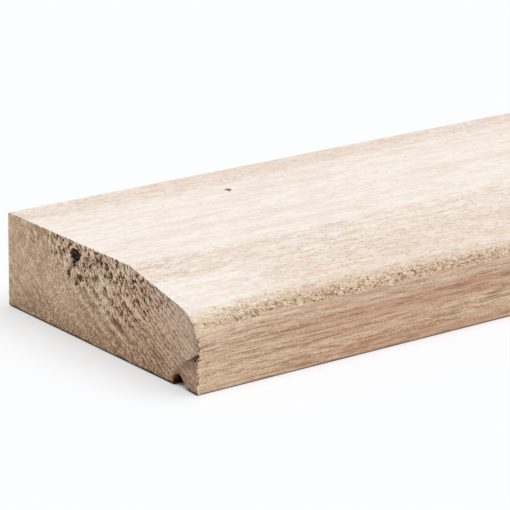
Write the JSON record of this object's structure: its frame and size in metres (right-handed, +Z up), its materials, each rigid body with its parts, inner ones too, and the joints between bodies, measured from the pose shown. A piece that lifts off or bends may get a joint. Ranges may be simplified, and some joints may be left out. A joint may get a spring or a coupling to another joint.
{
  "type": "hardwood window sill board",
  "caption": "Moulded hardwood window sill: flat frame seat at the back, weathered slope, rounded nose and a drip groove under the front edge.",
  "frame": {"origin": "middle of the board's footprint, on the bed it lies on", "axes": "+X along the board and the grain, -Y towards the rounded nose, +Z up out of the frame seat"},
  "size_m": [1.2, 0.145, 0.045],
  "materials": {
    "hardwood": "planed, unfinished, sawn ends"
  },
  "bodies": {
    "root": {"sill_board": "hardwood"}
  },
  "joints": []
}
